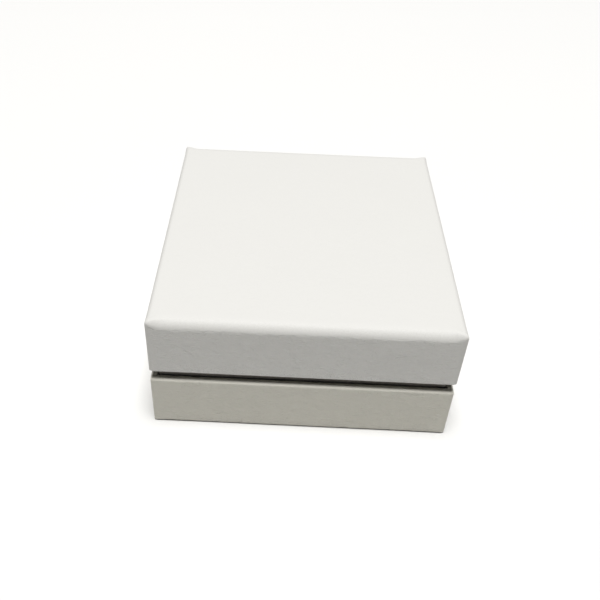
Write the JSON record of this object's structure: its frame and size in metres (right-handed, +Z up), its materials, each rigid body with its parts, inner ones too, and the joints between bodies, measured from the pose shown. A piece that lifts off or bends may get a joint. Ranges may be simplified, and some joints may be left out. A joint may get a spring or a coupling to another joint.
{
  "type": "jewelry gift box",
  "caption": "Square rigid gift box for jewellery: a paper-wrapped base and lift-off lid of equal size over a dark inner neck, with a velvet-covered foam pad inside.",
  "frame": {"origin": "middle of the underside of the base, on the surface that the box stands on", "axes": "+Z up, the way the lid lifts; -Y towards the front; +X to the right seen from the front"},
  "size_m": [0.09, 0.09, 0.0435],
  "materials": {
    "wrap_paper": "matte",
    "dark_paper": "matte",
    "greyboard": "matte",
    "kraft_tape": "matte",
    "pad_card": "matte",
    "foam": "matte",
    "velvet": "matte",
    "ribbon": "satin"
  },
  "bodies": {
    "base": {"base_board": "greyboard", "base_stay_front_left": "kraft_tape", "base_stay_front_right": "kraft_tape", "base_stay_back_right": "kraft_tape", "base_stay_back_left": "kraft_tape", "base_wrap": "wrap_paper", "base_bottom_sheet": "wrap_paper", "floor_lining": "dark_paper", "neck_board": "greyboard", "neck_stay": "kraft_tape", "neck_wrap": "dark_paper"},
    "pad": {"pad_board": "pad_card", "pad_foam": "foam", "pad_velvet": "velvet", "pull_ribbon": "ribbon"},
    "lid": {"lid_board": "greyboard", "lid_stay_front_left": "kraft_tape", "lid_stay_front_right": "kraft_tape", "lid_stay_back_right": "kraft_tape", "lid_stay_back_left": "kraft_tape", "lid_wrap": "wrap_paper", "lid_lining": "dark_paper", "lid_pad_card": "pad_card", "lid_pad_foam": "foam", "lid_pad_velvet": "velvet"}
  },
  "joints": [
    {"name": "lid_lift", "type": "slide", "parent": "base", "child": "lid", "axis": [0, 0, 1], "range_m": [0, 0.045]},
    {"name": "pad_lift", "type": "slide", "parent": "base", "child": "pad", "axis": [0, 0, 1], "range_m": [0, 0.012]}
  ]
}
